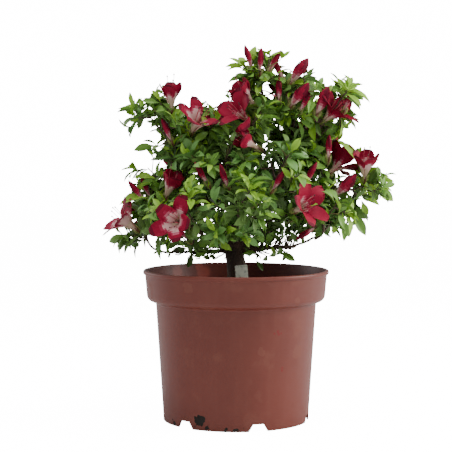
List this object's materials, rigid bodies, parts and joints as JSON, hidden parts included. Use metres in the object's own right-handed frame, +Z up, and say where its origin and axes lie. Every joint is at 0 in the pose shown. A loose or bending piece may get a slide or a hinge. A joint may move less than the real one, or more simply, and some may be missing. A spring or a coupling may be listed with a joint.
{
  "type": "potted azalea shrub",
  "caption": "Small azalea shrub with crimson funnel flowers and buds, on one short trunk in a terracotta-brown plastic nursery pot with a blank tag.",
  "frame": {"origin": "on the ground under the middle of the plant and pot together, so the axis of the pot stands 14.9 mm towards -X and 1.8 mm towards -Y of it", "axes": "+Z up, +X to the right in the picture, +Y away from its camera"},
  "size_m": [0.3471, 0.263, 0.4454],
  "materials": {
    "pot_plastic": "satin",
    "potting_soil": "matte",
    "tag_plastic": "matte",
    "bark": "matte",
    "foliage": "satin"
  },
  "bodies": {
    "root": {"pot": "pot_plastic", "soil": "potting_soil", "tag": "tag_plastic", "trunk": "bark", "bough_left": "bark", "bough_leader": "bark", "bough_right": "bark", "bough_low_left": "bark", "bough_low_right": "bark", "bough_front_left": "bark", "bough_centre_front": "bark", "bough_back_left": "bark", "bough_back": "bark", "bough_back_right": "bark", "bough_mid_left": "bark", "bough_left_shoulder": "bark", "bough_heart": "bark", "bough_upper_middle": "bark", "bough_top": "bark", "bough_right_front": "bark", "bough_upper_right": "bark", "bough_right_shoulder": "bark", "bough_mid_right": "bark", "bough_far_right": "bark", "bough_back_top": "bark", "bough_back_shoulder_left": "bark", "bough_back_shoulder_right": "bark", "foliage_low_left": "foliage", "foliage_front_left": "foliage", "foliage_upper_left": "foliage", "foliage_left_shoulder": "foliage", "foliage_mid_left": "foliage", "foliage_centre_front": "foliage", "foliage_heart": "foliage", "foliage_top": "foliage", "foliage_upper_middle": "foliage", "foliage_upper_right": "foliage", "foliage_right_shoulder": "foliage", "foliage_mid_right": "foliage", "foliage_far_right": "foliage", "foliage_low_right": "foliage", "foliage_right_front": "foliage", "foliage_back_left": "foliage", "foliage_back": "foliage", "foliage_back_right": "foliage", "foliage_back_top": "foliage", "foliage_back_shoulder_left": "foliage", "foliage_back_shoulder_right": "foliage"}
  },
  "joints": []
}
